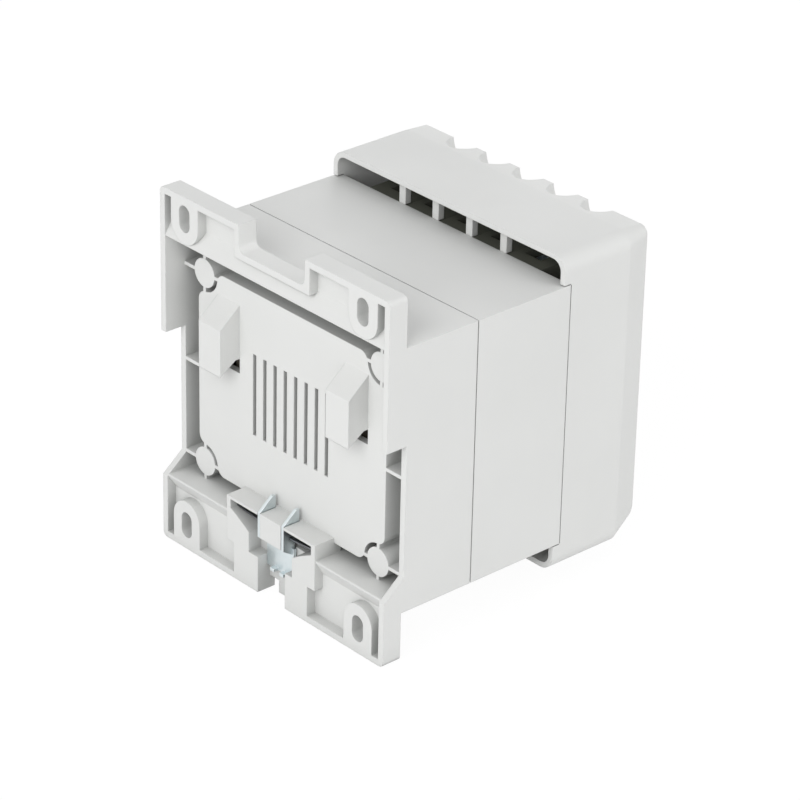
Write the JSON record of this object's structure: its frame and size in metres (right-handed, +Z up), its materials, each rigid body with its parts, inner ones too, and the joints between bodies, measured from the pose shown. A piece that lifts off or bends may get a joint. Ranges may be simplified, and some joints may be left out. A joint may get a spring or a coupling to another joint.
{
  "type": "din rail transformer",
  "caption": "Boxed control transformer for a 35 mm rail or screw fixing, with hooded screw terminals above and below and a sprung steel rail latch.",
  "frame": {"origin": "middle of the 35 mm rail, on the plane that the rail's flanges bear on", "axes": "+Z up, +Y towards the wall behind the rail, +X to the right seen from the front"},
  "size_m": [0.09, 0.0905, 0.1044],
  "materials": {
    "grey_housing_plastic": "light grey moulded, fine matt grain",
    "zinc_steel": "bright zinc plate, bluish",
    "spring_steel": "plain spring strip",
    "core_steel": "varnished laminations",
    "bobbin_nylon": "natural nylon",
    "fuse_case": "moulded case",
    "copper_wire": "enamelled copper turns",
    "winding_tape": "polyester film",
    "lead_insulation": "black sleeving",
    "terminal_plastic": "black moulded",
    "tinned_brass": "tinned"
  },
  "bodies": {
    "housing": {"rear_shell": "grey_housing_plastic", "front_shell": "grey_housing_plastic", "front_cover": "grey_housing_plastic", "latch_spring": "spring_steel", "core_e_stack": "core_steel", "core_i_stack": "core_steel", "bobbin": "bobbin_nylon", "thermal_fuse": "fuse_case", "housing_screws": "zinc_steel", "secondary_winding": "copper_wire", "primary_winding": "copper_wire", "secondary_tape": "winding_tape", "primary_tape": "winding_tape", "secondary_leads": "lead_insulation", "primary_leads": "lead_insulation", "upper_terminal_block": "terminal_plastic", "upper_clamp_cages": "zinc_steel", "upper_clamp_screws": "zinc_steel", "upper_pressure_plates": "zinc_steel", "upper_solder_tags": "tinned_brass", "lower_terminal_block": "terminal_plastic", "lower_clamp_cages": "zinc_steel", "lower_clamp_screws": "zinc_steel", "lower_pressure_plates": "zinc_steel", "lower_solder_tags": "tinned_brass"},
    "rail_latch": {"rail_latch": "zinc_steel"}
  },
  "joints": [
    {"name": "latch_slide", "type": "slide", "parent": "housing", "child": "rail_latch", "axis": [0, 0, 1], "range_m": [-0.004, 0], "stiffness_N_per_m": 2000, "springref_m": 0.0015, "deforming": ["latch_spring"]}
  ]
}
